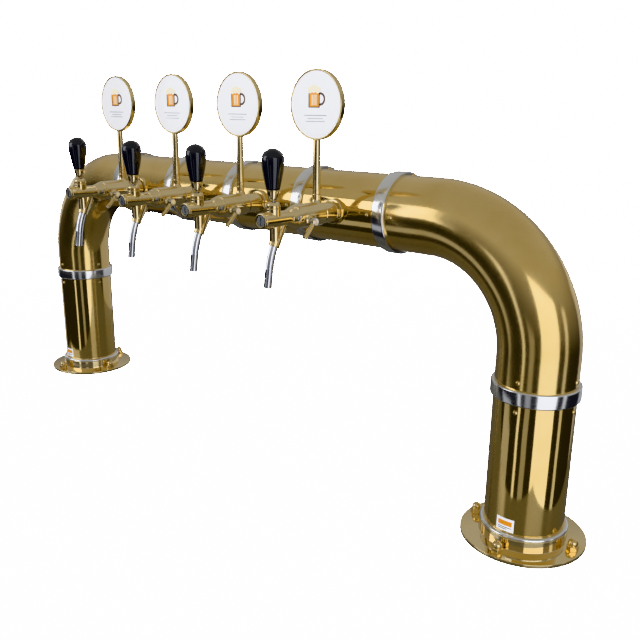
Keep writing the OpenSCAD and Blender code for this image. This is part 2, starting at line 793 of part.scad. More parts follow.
module flow_cone(i) {
    color(STEEL) at_tap(i) difference() {
        cone_f(cone_r, cone_r - cone_slope * (cone_front - cone_back), cone_back, cone_front);
        // Groove for the crank pin
        translate([0, -spindle_y, 0]) rotate([90, 0, 0]) difference() {
            cylinder(r = cone_r + 1, h = 2 * (crank_pin_r + 0.45), center = true);
            cylinder(r = groove_r, h = 4, center = true);
        }
    }
}

base_flange(-1);  // left_base_flange
base_flange(1);  // right_base_flange
base_rings();
acorn_nuts();
leg_tube(-1);  // left_leg_tube
leg_tube(1);  // right_leg_tube
elbow(-1);  // left_elbow
elbow(1);  // right_elbow
leg_bands();
beam_bands();
joint_sleeves();
band_screws();
leg_labels();
beer_lines();
line_fittings();
cooling_pipe();
wall_flanges();
tap_shanks();
shank_nuts();
coupling_nuts();
tap_seals();
front_caps();
gland_nuts();
side_plugs();
spouts();
badge_rods();
badge_frames();
badge_faces();
for (i = TAPS) {
    beam_segment(i);
    tap_body(i);
    lever(i);
    ferrule(i);
    knob(i);
    spool(i);
    flow_lever(i);
    flow_cone(i);
}
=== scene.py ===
import bpy
import math
from mathutils import Matrix, Vector


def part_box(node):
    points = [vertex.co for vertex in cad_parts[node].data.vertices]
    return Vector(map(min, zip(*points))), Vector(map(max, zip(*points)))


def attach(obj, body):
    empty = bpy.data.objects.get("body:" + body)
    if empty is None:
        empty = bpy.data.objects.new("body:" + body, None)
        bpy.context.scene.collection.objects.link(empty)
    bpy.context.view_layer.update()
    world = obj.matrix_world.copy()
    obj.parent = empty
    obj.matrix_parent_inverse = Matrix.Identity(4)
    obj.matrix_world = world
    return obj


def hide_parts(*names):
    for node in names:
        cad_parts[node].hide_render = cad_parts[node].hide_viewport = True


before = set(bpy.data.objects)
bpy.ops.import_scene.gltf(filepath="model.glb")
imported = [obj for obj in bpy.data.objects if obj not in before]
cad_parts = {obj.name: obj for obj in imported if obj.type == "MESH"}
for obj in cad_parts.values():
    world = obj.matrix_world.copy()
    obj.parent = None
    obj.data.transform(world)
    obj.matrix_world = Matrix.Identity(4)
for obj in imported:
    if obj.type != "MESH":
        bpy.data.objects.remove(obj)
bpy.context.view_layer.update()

# ---- Camera ----------------------------------------------------------------
# The camera stands in front of the right leg at the height of the badges,
# and looks down a little along the whole bridge.
camera_at = Vector((0.8691, -0.8264, 0.5292))
camera_right = Vector((0.7516, 0.6597, 0.0108))
camera_up = Vector((-0.1863, 0.1966, 0.9627))
camera = bpy.data.objects.new("camera", bpy.data.cameras.new("camera"))
camera.data.lens = 41.94
camera.data.sensor_width = 36
camera.data.clip_start = 0.01
camera.data.clip_end = 50
camera.matrix_world = Matrix.Translation(camera_at) @ Matrix(
    (camera_right, camera_up, camera_right.cross(camera_up))).transposed().to_4x4()
bpy.context.scene.collection.objects.link(camera)
bpy.context.scene.camera = camera

# ---- Studio ----------------------------------------------------------------
# A pale floor and backdrop, and soft white boxes. The polished metal mirrors
# the boxes, the dark table and the room, so their places make its streaks.
MM = 0.001
scene = bpy.context.scene
scene.view_settings.view_transform = "Khronos PBR Neutral"


class Value:
    """A number, colour or vector that changes over a surface. Sums and products add Math nodes."""

    def __init__(self, finish, socket):
        self.finish = finish
        self.socket = socket

    def __add__(self, other):
        return self.finish.math("ADD", self, other)

    def __mul__(self, other):
        return self.finish.math("MULTIPLY", self, other)

    __radd__ = __add__
    __rmul__ = __mul__


class Finish:
    """A material. Its shader's own sockets are set by name, from numbers or Values."""

    def __init__(self, name, **constants):
        self.material = bpy.data.materials.new(name)
        self.material.use_nodes = True
        self.tree = self.material.node_tree
        self.shader = self.tree.nodes["Principled BSDF"]
        self.place = self.node("ShaderNodeTexCoord", output="Object")
        for socket, value in constants.items():
            self.set(socket.replace("_", " ").title().replace("Ior", "IOR"), value)

    def node(self, kind, settings={}, inputs={}, output=0):
        made = self.tree.nodes.new(kind)
        for setting, value in settings.items():
            if setting == "stops":
                for stop, (at, colour) in zip(made.color_ramp.elements, value):
                    stop.position, stop.color = at, (*colour, 1)
            else:
                setattr(made, setting, value)
        for socket, value in inputs.items():
            if isinstance(value, Value):
                self.tree.links.new(value.socket, made.inputs[socket])
            else:
                made.inputs[socket].default_value = value
        return Value(self, made.outputs[output])

    def math(self, operation, first, second):
        return self.node("ShaderNodeMath", {"operation": operation}, {0: first, 1: second})

    def set(self, socket, value):
        if isinstance(value, Value):
            self.tree.links.new(value.socket, self.shader.inputs[socket])
        else:
            self.shader.inputs[socket].default_value = value

    def cloud(self, scale, detail=2, stretch=(1, 1, 1)):
        """Soft noise from 0 to 1, so many lumps to the metre, and longer where stretch is small."""
        place = self.node("ShaderNodeMapping", {}, {"Vector": self.place, "Scale": stretch})
        return self.node("ShaderNodeTexNoise", {}, {"Vector": place, "Scale": scale, "Detail": detail})

    def blend(self, factor, first, second):
        """Goes from one colour to another."""
        return self.node("ShaderNodeMix", {"data_type": "RGBA"},
                         {"Factor": factor, 6: (*first, 1), 7: (*second, 1)}, output=2)

    def relief(self, height, depth, normal=None):
        """A bump, so many metres deep."""
        inputs = {"Height": height, "Distance": depth, "Strength": 1}
        if normal:
            inputs["Normal"] = normal
        return self.node("ShaderNodeBump", {}, inputs)


def room_light():
    """The room: mid grey from the horizon up, and nearly black below it."""
    world = bpy.data.worlds.new("room")
    scene.world = world
    world.use_nodes = True
    nodes, links = world.node_tree.nodes, world.node_tree.links
    direction = nodes.new("ShaderNodeTexCoord")
    height = nodes.new("ShaderNodeSeparateXYZ")
    ramp = nodes.new("ShaderNodeValToRGB")
    tones = ((0.40, 0.028, 0.034), (0.52, 0.18, 0.19), (0.75, 0.46, 0.46), (1.0, 0.42, 0.42))
    for number, (position, tone, blue) in enumerate(tones):
        stop = ramp.color_ramp.elements[number] if number < 2 else ramp.color_ramp.elements.new(position)
        stop.position = position
        stop.color = (tone, tone, blue, 1)
    upward = nodes.new("ShaderNodeMapRange")
    upward.inputs["From Min"].default_value = -1
    links.new(direction.outputs["Generated"], height.inputs[0])
    links.new(height.outputs["Z"], upward.inputs["Value"])
    links.new(upward.outputs[0], ramp.inputs[0])
    links.new(ramp.outputs[0], nodes["Background"].inputs["Color"])


def seen_by(thing, *rays):
    """Limits a piece of the studio to some kinds of ray."""
    for ray in ("camera", "diffuse", "glossy", "transmission", "volume_scatter", "shadow"):
        setattr(thing, f"visible_{ray}", ray in rays)


def softbox(name, left, right, low, high, radiance, glossy=True):
    """An upright white light between two points of the floor, facing the tower."""
    along = Vector((right[0] - left[0], right[1] - left[1], 0))
    middle = Vector(((left[0] + right[0]) / 2, (left[1] + right[1]) / 2, (low + high) / 2))
    lamp = bpy.data.lights.new(name, "AREA")
    lamp.shape = "RECTANGLE"
    lamp.size, lamp.size_y = along.length, high - low
    lamp.energy = radiance * math.pi * lamp.size * lamp.size_y
    lamp.color = (0.97, 1.0, 1.10) if glossy else (1, 1, 1)
    across = along.normalized()
    back = across.cross(Vector((0, 0, 1)))
    if back.dot(middle) < 0:
        across, back = -across, -back
    light = bpy.data.objects.new(name, lamp)
    light.matrix_world = Matrix.Translation(middle) @ Matrix(
        (across, Vector((0, 0, 1)), back)).transposed().to_4x4()
    scene.collection.objects.link(light)
    light.visible_camera = False
    light.visible_glossy = glossy


room_light()
bpy.ops.mesh.primitive_uv_sphere_add(segments=48, ring_count=24, radius=8)
backdrop = bpy.context.object
backdrop.name = "backdrop"
backdrop_white = Finish("backdrop_white", base_color=(0, 0, 0, 1), roughness=1.0,
                        specular_ior_level=0.0, emission_color=(1, 1, 1, 1), emission_strength=30)
backdrop.data.materials.append(backdrop_white.material)
seen_by(backdrop, "camera")

floor_finish = Finish("floor_pale", base_color=(0.90, 0.90, 0.90, 1), roughness=0.9,
                      specular_ior_level=0.1, emission_color=(1, 1, 1, 1), emission_strength=12)
radius_from_middle = floor_finish.node(
    "ShaderNodeVectorMath", {"operation": "LENGTH"}, {0: floor_finish.place}, output="Value")
floor_finish.set("Alpha", floor_finish.node(
    "ShaderNodeMapRange", {"interpolation_type": "SMOOTHSTEP"},
    {"Value": radius_from_middle, "From Min": 0.75, "From Max": 2.2, "To Min": 1.0, "To Max": 0.0}))
bpy.ops.mesh.primitive_circle_add(vertices=96, radius=3.0, fill_type="NGON", location=(0, 0, -0.2 * MM))
floor = bpy.context.object
floor.name = "floor"
floor.data.materials.append(floor_finish.material)
seen_by(floor, "camera")

table_finish = Finish("table_grey", base_color=(0.10, 0.10, 0.09, 1), roughness=0.22, ior=2.4)
bpy.ops.mesh.primitive_plane_add(size=1, location=(0, 0.155, -1 * MM))
table = bpy.context.object
table.name = "table"
table.scale = (1.32, 0.69, 1)
table.data.materials.append(table_finish.material)
seen_by(table, "glossy")

softbox("box_right", (1.06, -0.90), (2.00, -0.30), -1.1, 0.85, 1.30)
softbox("box_front", (-2.00, -1.50), (-0.45, -1.50), 0.36, 1.30, 1.8)
softbox("box_low", (-2.20, -1.52), (-0.60, -1.52), -1.40, -0.62, 0.42)
softbox("box_middle", (-0.32, -2.70), (0.02, -2.70), -1.70, 0.60, 0.9)
softbox("box_left", (-2.30, 0.50), (-2.30, -0.40), -1.60, 0.90, 0.5)
softbox("box_back", (1.60, 2.20), (-1.60, 2.20), -1.50, 0.75, 0.40)
softbox("strip_right", (2.05, 0.15), (2.05, 0.40), -1.20, 0.70, 0.65)
softbox("strip_front", (0.55, -1.75), (0.95, -1.68), -1.3, 0.1, 0.35)
softbox("fill", (-1.20, -2.60), (1.80, -2.40), 0.2, 2.6, 2.6, glossy=False)

# ---- Leg tubes -------------------------------------------------------------
# Two straight ends of 101.6 mm brass tube, 1.5 mm in the wall. Each stands in
# its base flange and takes the elbow's sleeve at the top.
UP = (0, 0, 0)
leg_low, leg_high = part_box("right_leg_tube")
leg_x = (leg_low.x + leg_high.x) / 2
tube_r = (leg_high.x - leg_low.x) / 2
tube_wall = 1.5 * MM
SIDES = (("left", -1), ("right", 1))


def metal(name, light_tone, dark_tone, gloss, smear, wave, hairline, stretch=(1, 1, 1), **constants):
    """Polished metal: slow waves left by the buff, hairlines, and smears that dull it a little."""
    finish = Finish(name, metallic=1.0, **constants)
    smears = finish.cloud(16, 4)
    finish.set("Base Color", finish.blend(smears * smears * 1.8, light_tone, dark_tone))
    finish.set("Roughness", finish.cloud(70, 3) * smear + gloss)
    waves = finish.relief(finish.cloud(13, 1), wave)
    finish.set("Normal", finish.relief(finish.cloud(900, 2, stretch), hairline, waves))
    return finish.material


BRASS_LIGHT = (0.88, 0.665, 0.30)
BRASS_DARK = (0.79, 0.56, 0.205)
drawn_brass = metal("drawn_brass", BRASS_LIGHT, BRASS_DARK, 0.06, 0.06, 0.0007, 1.5e-6,
                    (0.05, 1, 1), coat_weight=0.35, coat_roughness=0.04)


def edit():
    """Opens the active piece for editing, with all of it selected."""
    bpy.ops.object.mode_set(mode="EDIT")
    bpy.ops.mesh.select_all(action="SELECT")


def done():
    bpy.ops.object.mode_set(mode="OBJECT")


def pick(*things):
    """Selects these pieces and nothing else; the first one is active."""
    bpy.ops.object.select_all(action="DESELECT")
    for thing in things:
        thing.select_set(True)
    bpy.context.view_layer.objects.active = things[0]


def settle(piece):
    """Puts the piece's place and turn into its mesh."""
    pick(piece)
    bpy.ops.object.transform_apply(location=True, rotation=True, scale=True)


def modify(piece, kind, **settings):
    """Adds a modifier and applies it."""
    pick(piece)
    bpy.ops.object.modifier_add(type=kind)
    modifier = piece.modifiers[-1]
    for setting, value in settings.items():
        setattr(modifier, setting, value)
    bpy.ops.object.modifier_apply(modifier=modifier.name)


def present(piece, material, slot, body, *nodes, sharp=32):
    """Gives a finished piece its finish, hangs it on the body it rides on, and hides the parts it stands
    for.
    """
    settle(piece)
    bpy.ops.object.shade_smooth_by_angle(angle=math.radians(sharp))
    piece.data.materials.clear()
    piece.data.materials.append(material)
    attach(piece, body)
    if nodes:
        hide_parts(*nodes)


def start_ring(name, at, facing, radius, corners=144):
    """A bare ring of edges, open for editing, ready to be drawn out into a tube."""
    pick(camera)
    bpy.ops.mesh.primitive_circle_add(vertices=corners, radius=radius, location=at, rotation=facing)
    piece = bpy.context.object
    piece.name = name
    settle(piece)
    edit()
    return piece


def draw_out(x, y, z):
    bpy.ops.mesh.extrude_region_move(TRANSFORM_OT_translate={"value": (x, y, z)})


def give_wall(piece, thickness):
    """Turns the skin outwards and thickens it inwards into a tube."""
    bpy.ops.mesh.select_all(action="SELECT")
    bpy.ops.mesh.normals_make_consistent(inside=False)
    done()
    modify(piece, "SOLIDIFY", thickness=thickness, offset=-1)


for side, s in SIDES:
    low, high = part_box(f"{side}_leg_tube")
    leg_tube = start_ring(f"{side}_leg", (s * leg_x, 0, low.z), UP, tube_r)
    draw_out(0, 0, high.z - low.z)
    give_wall(leg_tube, tube_wall)
    present(leg_tube, drawn_brass, "polished_brass", "tower", f"{side}_leg_tube")

# ---- Elbows ----------------------------------------------------------------
# Swept bends of the same tube on a 152.4 mm radius, with a straight end each
# way. They are buffed by hand after bending, so they mirror more softly.
ALONG = (0, math.pi / 2, 0)
beam_z = (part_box("beam_segment_1")[0].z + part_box("beam_segment_1")[1].z) / 2
bend_r = 152.4 * MM
bend_steps = 48
buffed_brass = metal("buffed_brass", BRASS_LIGHT, BRASS_DARK, 0.13, 0.07, 0.0009, 3e-6,
                     (1, 1, 0.06), coat_weight=0.35, coat_roughness=0.08)
for side, s in SIDES:
    low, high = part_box(f"{side}_elbow")
    beam_end = low.x if s > 0 else high.x
    bend_x = s * (leg_x - bend_r)
    elbow = start_ring(f"{side}_bend", (beam_end, 0, beam_z), ALONG, tube_r)
    draw_out(bend_x - beam_end, 0, 0)
    bpy.ops.mesh.spin(steps=bend_steps, angle=-s * math.pi / 2, center=(bend_x, 0, beam_z - bend_r),
                      axis=(0, 1, 0))
    draw_out(0, 0, low.z - (beam_z - bend_r))
    give_wall(elbow, tube_wall)
    present(elbow, buffed_brass, "polished_brass", "tower", f"{side}_elbow")

# ---- Beam segments ---------------------------------------------------------
# Four short tubes in line, one for each tap, butted inside the bands.
TAPS = (1, 2, 3, 4)
for i in TAPS:
    low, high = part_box(f"beam_segment_{i}")
    segment = start_ring(f"beam_tube_{i}", (low.x, 0, beam_z), ALONG, tube_r)
    draw_out(high.x - low.x, 0, 0)
    give_wall(segment, tube_wall)
    present(segment, drawn_brass, "polished_brass", "tower", f"beam_segment_{i}")

# ---- Joint bands -----------------------------------------------------------
# Chrome-plated rings over the seven joints. Each is turned with a flat face
# between rounded edges, and hides where two tubes meet.
band_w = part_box("leg_bands")[1].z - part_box("leg_bands")[0].z
band_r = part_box("leg_bands")[1].x - leg_x
edge_r = 2.2 * MM
chrome = metal("polished_chrome", (0.90, 0.89, 0.85), (0.78, 0.77, 0.73), 0.14, 0.06, 0.0006, 1e-6)
leg_joint_z = (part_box("leg_bands")[0].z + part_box("leg_bands")[1].z) / 2
tap_x = [(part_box(f"knob_{i}")[0].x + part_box(f"knob_{i}")[1].x) / 2 for i in TAPS]
tap_pitch = tap_x[1] - tap_x[0]
leg_joints = [(s * leg_x, 0, leg_joint_z) for side, s in SIDES]
beam_joints = [(j * tap_pitch, 0, beam_z) for j in (-2, -1, 0, 1, 2)]


def arc(x, z, radius, start, end, steps=6):
    """Points of an outline round a corner, between two angles in degrees."""
    turns = [math.radians(start + (end - start) * k / steps) for k in range(steps + 1)]
    return [(x + radius * math.cos(t), z + radius * math.sin(t)) for t in turns]


def turn(name, outline, at, facing=UP, steps=96):
    """Turns an outline of (radius, height) points, as on a lathe, then stands it at its place."""
    pick(camera)
    bpy.ops.mesh.primitive_plane_add(size=MM)
    piece = bpy.context.object
    piece.name = name
    edit()
    bpy.ops.mesh.merge(type="CENTER")
    (r, z), rest = outline[0], outline[1:]
    bpy.ops.transform.translate(value=(r, 0, z))
    for next_r, next_z in rest:
        bpy.ops.mesh.extrude_vertices_move(TRANSFORM_OT_translate={"value": (next_r - r, 0, next_z - z)})
        r, z = next_r, next_z
    bpy.ops.mesh.select_all(action="SELECT")
    bpy.ops.mesh.spin(steps=steps, angle=2 * math.pi, center=(0, 0, 0), axis=(0, 0, 1))
    bpy.ops.mesh.select_all(action="SELECT")
    bpy.ops.mesh.remove_doubles(threshold=0.002 * MM)
    bpy.ops.mesh.normals_make_consistent(inside=False)
    done()
    piece.location, piece.rotation_euler = at, facing
    settle(piece)
    return piece


half = band_w / 2
band_outline = (
    [(tube_r, -half), (band_r - edge_r, -half)]
    + arc(band_r - edge_r, -half + edge_r, edge_r, -90, 0)
    + arc(band_r - edge_r, half - edge_r, edge_r, 0, 90)
    + [(tube_r, half), (tube_r, -half)])
for group, places, facing in (("leg", leg_joints, UP), ("beam", beam_joints, ALONG)):
    for number, at in enumerate(places, 1):
        band = turn(f"{group}_band_{number}", band_outline, at, facing, 144)
        present(band, chrome, "polished_chrome", "tower", f"{group}_bands")

# ---- Band screws -----------------------------------------------------------
# Small domed brass screws, four on each side of every joint, slotted for a
# screwdriver. They clamp the tubes to the sleeve inside.
screw_r = 3 * MM
screw_h = 2.1 * MM
screw_offset = 18.7 * MM
screw_sunk = 1.2 * MM
slot_w = 0.7 * MM
slot_step = 0.7
fastener_brass = metal("fastener_brass", (0.87, 0.70, 0.38), (0.76, 0.56, 0.25), 0.10, 0.08,
                       0.0002, 2e-6)


def copy_moved(piece, name, move):
    """A copy with its own mesh, moved by so much."""
    pick(piece)
    bpy.ops.object.duplicate(linked=False)
    made = bpy.context.object
    made.name = name
    made.location = move
    settle(made)
    return made


def cut(piece, tool, operation="DIFFERENCE"):
    modify(piece, "BOOLEAN", operation=operation, object=tool, solver="EXACT")
    bpy.data.objects.remove(tool)


def block(name, size, at, facing=UP):
    """A plain block, used as a web, a printed shape or a cutter."""
    pick(camera)
    bpy.ops.mesh.primitive_cube_add(size=1, location=at, rotation=facing)
    piece = bpy.context.object
    piece.name = name
    piece.scale = size
    settle(piece)
    return piece


def dome_ball(radius, height):
    """The radius of the ball that a low dome is cut from."""
    return (radius * radius + height * height) / (2 * height)


def joined(name, pieces):
    """One piece of several copies."""
    pick(*pieces)
    bpy.ops.object.join()
    pieces[0].name = name
    return pieces[0]


ball = dome_ball(screw_r, screw_h)
rise = math.degrees(math.asin((ball - screw_h) / ball))
screw_outline = [(0, -screw_sunk), (screw_r, -screw_sunk)] + arc(0, screw_h - ball, ball, rise, 90, 8)
screw_outline[-1] = (0, screw_h)
screw = turn("screw", screw_outline, (0, 0, 0), steps=32)
cut(screw, block("screwdriver_slot", (8 * MM, slot_w, 1.6 * MM), (0, 0, screw_h)))
screws = []
upright, level = Vector((0, 0, 1)), Vector((1, 0, 0))
joint_axes = [(at, upright, level) for at in leg_joints] + [(at, level, upright) for at in beam_joints]
for at, along, first_out in joint_axes:
    for offset in (-screw_offset, screw_offset):
        for quarter in range(4):
            out = Matrix.Rotation(quarter * math.pi / 2, 3, along) @ first_out
            one = copy_moved(screw, "screw_copy", (0, 0, 0))
            one.rotation_mode = "QUATERNION"
            slot_turn = Matrix.Rotation(slot_step * len(screws), 3, "Z").to_quaternion()
            one.rotation_quaternion = out.to_track_quat("Z", "Y") @ slot_turn
            one.location = Vector(at) + along * offset + out * tube_r
            settle(one)
            screws.append(one)
bpy.data.objects.remove(screw)
present(joined("joint_screws", screws), fastener_brass, "polished_brass", "tower", "band_screws")

# ---- Base flanges ----------------------------------------------------------
# A round brass foot under each leg: a plate with eased edges, a collar round
# the tube and a thin lip inside the chrome bead. It is bolted to the counter.
flange_low, flange_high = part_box("right_base_flange")
flange_r = (flange_high.x - flange_low.x) / 2
flange_t = leg_low.z
lip_top = flange_high.z
bead_low, bead_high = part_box("base_rings")
collar_top = bead_low.z
collar_r = tube_r + 4.7 * MM
lip_r = tube_r + 1.2 * MM
line_hole_r = tube_r - 6.8 * MM
ease = 0.7 * MM
PALE_LIGHT = (0.89, 0.73, 0.43)
PALE_DARK = (0.80, 0.62, 0.30)
polished_brass = metal("polished_brass", PALE_LIGHT, PALE_DARK, 0.05, 0.06, 0.0004, 1.5e-6,
                       coat_weight=0.35, coat_roughness=0.04)
flange_outline = (
    [(line_hole_r, flange_t), (line_hole_r, 0)]
    + arc(flange_r - ease, ease, ease, -90, 0, 4)
    + arc(flange_r - ease, flange_t - ease, ease, 0, 90, 4)
    + arc(collar_r + ease, flange_t + ease, ease, 270, 180, 4)
    + arc(collar_r - ease / 2, collar_top - ease / 2, ease / 2, 0, 90, 3)
    + [(lip_r, collar_top)]
    + arc(lip_r - ease / 2, lip_top - ease / 2, ease / 2, 0, 90, 3)
    + [(tube_r, lip_top), (tube_r, flange_t), (line_hole_r, flange_t)])
for side, s in SIDES:
    foot = turn(f"{side}_foot", flange_outline, (s * leg_x, 0, 0), steps=144)
    present(foot, polished_brass, "polished_brass", "tower", f"{side}_base_flange")

# ---- Chrome beads ----------------------------------------------------------
# A half-round chrome ring on the shoulder of each collar.
bead_h = bead_high.z - bead_low.z
bead_outer = bead_high.x - leg_x
bead_r = 3.1 * MM
bead_up = 1.7 * MM
bead_at = (bead_outer - bead_r, collar_top + bead_up)
bead_top = math.degrees(math.asin((bead_h - bead_up) / bead_r))
bead_foot = math.degrees(math.asin(bead_up / bead_r))
bead_outline = [(lip_r, collar_top)] + arc(*bead_at, bead_r, -bead_foot, bead_top, 12) + [
    (lip_r, collar_top + bead_h), (lip_r, collar_top)]
for side, s in SIDES:
    bead = turn(f"{side}_bead", bead_outline, (s * leg_x, 0, 0), steps=144)
    present(bead, chrome, "polished_chrome", "tower", "base_rings")

# ---- Domed nuts ------------------------------------------------------------
# Four M8 domed brass nuts on each foot, 13 mm across the flats, with the
# hexagon chamfered and a ball on top.
nut_af = 13 * MM
nut_h = 15 * MM
hex_h = nut_h * 0.45
dome_r = nut_af / 2 - 0.3 * MM
bolt_r = (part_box("acorn_nuts")[1].x - leg_x) - nut_af / 2
nut_corner_r = nut_af / math.sqrt(3)
bpy.ops.object.select_all(action="DESELECT")
bpy.ops.mesh.primitive_cylinder_add(vertices=6, radius=nut_corner_r, depth=hex_h,
                                    location=(0, 0, hex_h / 2))
nut = bpy.context.object
settle(nut)
modify(nut, "BEVEL", width=0.25 * MM, segments=2, limit_method="ANGLE")
chamfer_r = nut_corner_r + 0.2 * MM
chamfer_outline = [(0, 0), (nut_af / 2, 0), (chamfer_r, 0.9 * MM), (chamfer_r, hex_h - 1.3 * MM),
                   (nut_af / 2 - 0.2 * MM, hex_h), (0, hex_h)]
cut(nut, turn("chamfer", chamfer_outline, (0, 0, 0), steps=64), "INTERSECT")
ball_outline = (
    [(0, 1 * MM), (dome_r - 0.5 * MM, 1 * MM), (dome_r - 0.5 * MM, hex_h + 0.5 * MM)]
    + arc(0, nut_h - dome_r, dome_r, 0, 90, 12)[:-1] + [(0, nut_h)])
cut(nut, turn("ball", ball_outline, (0, 0, 0), steps=64), "UNION")
for side, s in SIDES:
    copies = []
    for quarter in range(4):
        turned = quarter * math.pi / 2
        one = copy_moved(nut, "nut_copy", (0, 0, 0))
        one.rotation_euler = (0, 0, turned)
        one.location = (s * leg_x + bolt_r * math.cos(turned), bolt_r * math.sin(turned), flange_t)
        settle(one)
        copies.append(one)
    present(joined(f"{side}_domed_nuts", copies), fastener_brass, "polished_brass", "tower", "acorn_nuts")
bpy.data.objects.remove(nut)

# ---- Leg labels ------------------------------------------------------------
# A small printed film at the front of each leg, just above its foot.
label_low, label_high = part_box("leg_labels")
label_w = 24 * MM
label_h = label_high.z - label_low.z
label_film = Finish("label_film", base_color=(0.90, 0.91, 0.93, 1), roughness=0.35, coat_weight=0.3)
label_amber = Finish("label_amber", base_color=(0.75, 0.30, 0.03, 1), roughness=0.35, coat_weight=0.3)
label_grey = Finish("label_grey", base_color=(0.22, 0.23, 0.26, 1), roughness=0.35, coat_weight=0.3)
FACING_LABEL = math.radians(269)
# The print's widths and heights are shares of the label's.
LABEL_MARGIN = 0.12
LABEL_MARKS = (("stripe", 0.76, 0.44, 0.80, label_amber),
               ("rule", 0.76, 0.26, 0.32, label_grey),
               ("code", 0.50, 0.13, 0.19, label_grey))


def wrapped(name, at, start, width, low, high, radius, thickness):
    """A thin film round a leg, so many radians wide from a start angle."""
    pick(camera)
    bpy.ops.mesh.primitive_plane_add(size=MM)
    piece = bpy.context.object
    piece.name = name
    edit()
    bpy.ops.mesh.merge(type="CENTER")
    bpy.ops.transform.translate(value=(radius * math.cos(start), radius * math.sin(start), low))
    bpy.ops.mesh.extrude_vertices_move(TRANSFORM_OT_translate={"value": (0, 0, high - low)})
    bpy.ops.mesh.select_all(action="SELECT")
    bpy.ops.mesh.spin(steps=24, angle=-width, center=(0, 0, 0), axis=(0, 0, 1))
    bpy.ops.mesh.select_all(action="SELECT")
    bpy.ops.mesh.normals_make_consistent(inside=False)
    done()
    modify(piece, "SOLIDIFY", thickness=thickness, offset=0)
    piece.location = at
    settle(piece)
    return piece


for side, s in SIDES:
    at = (s * leg_x, 0, label_low.z)
    spread = label_w / tube_r
    left_edge = FACING_LABEL - spread / 2
    film = wrapped(f"{side}_film", at, left_edge, spread, 0, label_h, tube_r + 0.12 * MM, 0.2 * MM)
    present(film, label_film.material, "white_label", "tower", "leg_labels")
    for mark, width, low, high, finish in LABEL_MARKS:
        print_piece = wrapped(f"{side}_label_{mark}", at, left_edge + LABEL_MARGIN * spread,
                              width * spread, low * label_h, high * label_h, tube_r + 0.25 * MM,
                              0.06 * MM)
        present(print_piece, finish.material, "white_label", "tower", "leg_labels")

# ---- Wall flanges ----------------------------------------------------------
# A brass washer behind every tap, hollowed at the back to sit on the tube.
# Pieces of the tap are modelled once, at the middle of the tower, in
# distances forward of the tube and above the tap's axis, then copied.
FORWARD = (math.pi / 2, 0, 0)


def tap_place(forward=0.0, up=0.0, across=0.0):
    return (across, -tube_r - forward, beam_z + up)


def for_each_tap(piece, name, material, slot, node, body="tower", sharp=32):
    """Copies the middle piece to all four taps and finishes the copies."""
    for i in TAPS:
        made = copy_moved(piece, f"{name}_{i}", (tap_x[i - 1], 0, 0))
        present(made, material, slot, body.format(i), node.format(i), sharp=sharp)
    bpy.data.objects.remove(piece)


wall_r = (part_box("wall_flanges")[1].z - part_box("wall_flanges")[0].z) / 2
wall_t = -tube_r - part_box("wall_flanges")[0].y
shank_r = 8 * MM
wall_outline = (
    [(shank_r, -7 * MM), (wall_r, -7 * MM)] + arc(wall_r - 1.6 * MM, wall_t - 1.6 * MM, 1.6 * MM, 0, 90)
    + [(shank_r, wall_t), (shank_r, -7 * MM)])
washer = turn("washer", wall_outline, tap_place(), FORWARD, 72)
tube_cutter = turn("tube_cutter", [(0, -40 * MM), (tube_r, -40 * MM), (tube_r, 40 * MM), (0, 40 * MM)],
                   (0, 0, beam_z), ALONG, 288)
cut(washer, tube_cutter)
for_each_tap(washer, "washer", polished_brass, "polished_brass", "wall_flanges")

# ---- Coupling nuts ---------------------------------------------------------
# A smooth round brass nut pulls each tap on to its shank. It has bright
# chamfers, a fine groove and a hole for a hook spanner.
coupling_low, coupling_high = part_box("coupling_nuts")
coupling_r = (coupling_high.z - coupling_low.z) / 2
coupling_back = -tube_r - coupling_high.y
coupling_front = -tube_r - coupling_low.y
inner_r = coupling_r - 2.6 * MM
coupling_outline = (
    [(shank_r + 0.2 * MM, coupling_back), (coupling_r - 1 * MM, coupling_back),
     (coupling_r, coupling_back + 1 * MM), (coupling_r, coupling_back + 3.4 * MM),
     (coupling_r - 0.4 * MM, coupling_back + 3.8 * MM), (coupling_r, coupling_back + 4.2 * MM),
     (coupling_r, coupling_front - 1 * MM), (coupling_r - 1 * MM, coupling_front),
     (inner_r, coupling_front), (inner_r, coupling_back + 3 * MM),
     (shank_r + 0.2 * MM, coupling_back + 3 * MM), (shank_r + 0.2 * MM, coupling_back)])
coupling = turn("coupling", coupling_outline, tap_place(), FORWARD, 96)
spanner_hole = turn("spanner_hole", [(0, coupling_r - 1.8 * MM), (1.6 * MM, coupling_r - 1.8 * MM),
                                     (1.6 * MM, coupling_r + MM), (0, coupling_r + MM)],
                    tap_place(coupling_back + 14 * MM), (0, math.radians(62), 0), 24)
cut(coupling, spanner_hole)
for_each_tap(coupling, "coupling", polished_brass, "polished_brass", "coupling_nuts")

# ---- Tap bodies ------------------------------------------------------------
# A polished brass casting: threaded end, housing of the flow compensator,
# neck, barrel, bosses for the handle, badge, lever and plug, and the spout
# socket on its web. The bores inside are those of the tap's moving parts.
body_low, body_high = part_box("tap_body_1")
housing_r = 15.5 * MM
barrel_r = 10 * MM
body_back = -tube_r - body_high.y
barrel_front = -tube_r - body_low.y
pivot = barrel_front - 20 * MM
pivot_up = 16 * MM
housing_back = coupling_front + 0.4 * MM
housing_front = housing_back + 45 * MM
neck_front = housing_front + 22 * MM
spool_bore_r = 6.5 * MM
chamber_r = 9.8 * MM
badge_at = housing_back + 7 * MM
badge_seat = 26 * MM
spindle_at = housing_back + 35 * MM
spindle_up = -5.5 * MM
plug_at = housing_front + 12 * MM
socket_at = pivot - 0.6 * MM
socket_up = -34 * MM
socket_lean = math.radians(24)
socket_r = 7.9 * MM
cast_brass = metal("cast_brass", PALE_LIGHT, PALE_DARK, 0.075, 0.09, 0.0003, 2e-6,
                   coat_weight=0.35, coat_roughness=0.05)


